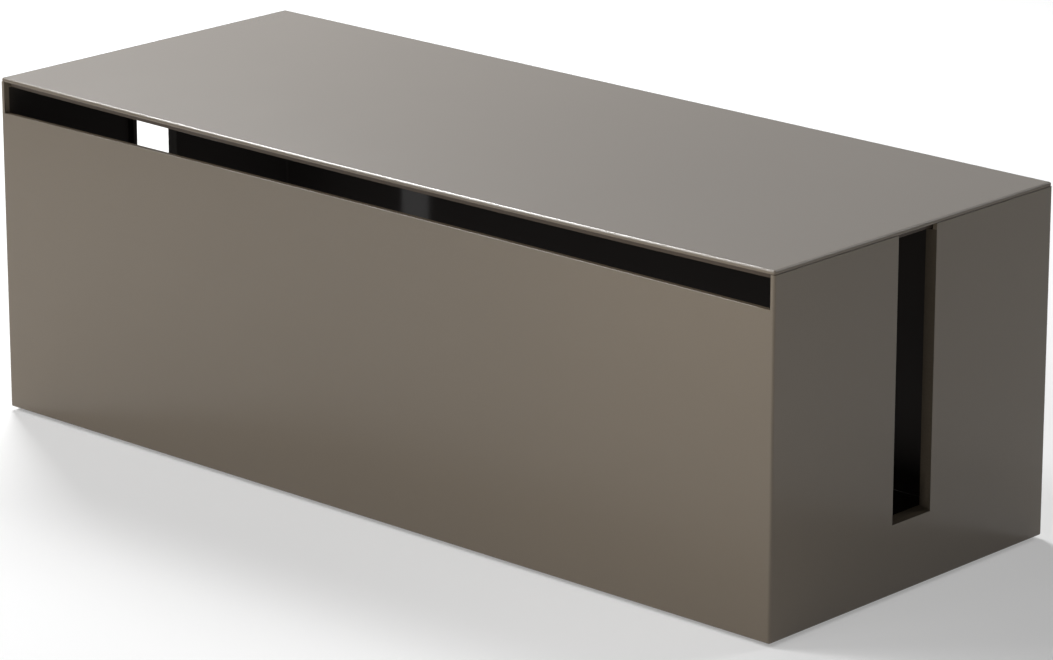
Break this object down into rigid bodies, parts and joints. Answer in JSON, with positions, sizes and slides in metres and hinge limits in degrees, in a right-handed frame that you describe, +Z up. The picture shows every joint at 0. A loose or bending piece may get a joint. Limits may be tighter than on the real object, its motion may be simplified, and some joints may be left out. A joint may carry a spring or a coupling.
{
  "type": "cable management box",
  "caption": "Long box that hides a power strip and its leads, with a gap along the top of its front, a cable slot in each end and a lift-off lid.",
  "frame": {"origin": "on the ground, under the middle of the box", "axes": "+X along the length towards the right-hand end, +Y from the front to the back, +Z up"},
  "size_m": [0.405, 0.16, 0.14],
  "materials": {
    "case": "satin taupe outside, darker and glossier inside",
    "lid": "satin taupe",
    "feet": "matt black rubber"
  },
  "bodies": {
    "case": {"case": "case", "foot_front_left": "feet", "foot_front_right": "feet", "foot_back_left": "feet", "foot_back_right": "feet"},
    "lid": {"lid": "lid"}
  },
  "joints": [
    {"name": "lid_lift", "type": "slide", "parent": "case", "child": "lid", "axis": [0, 0, 1], "range_m": [0, 0.12]}
  ]
}
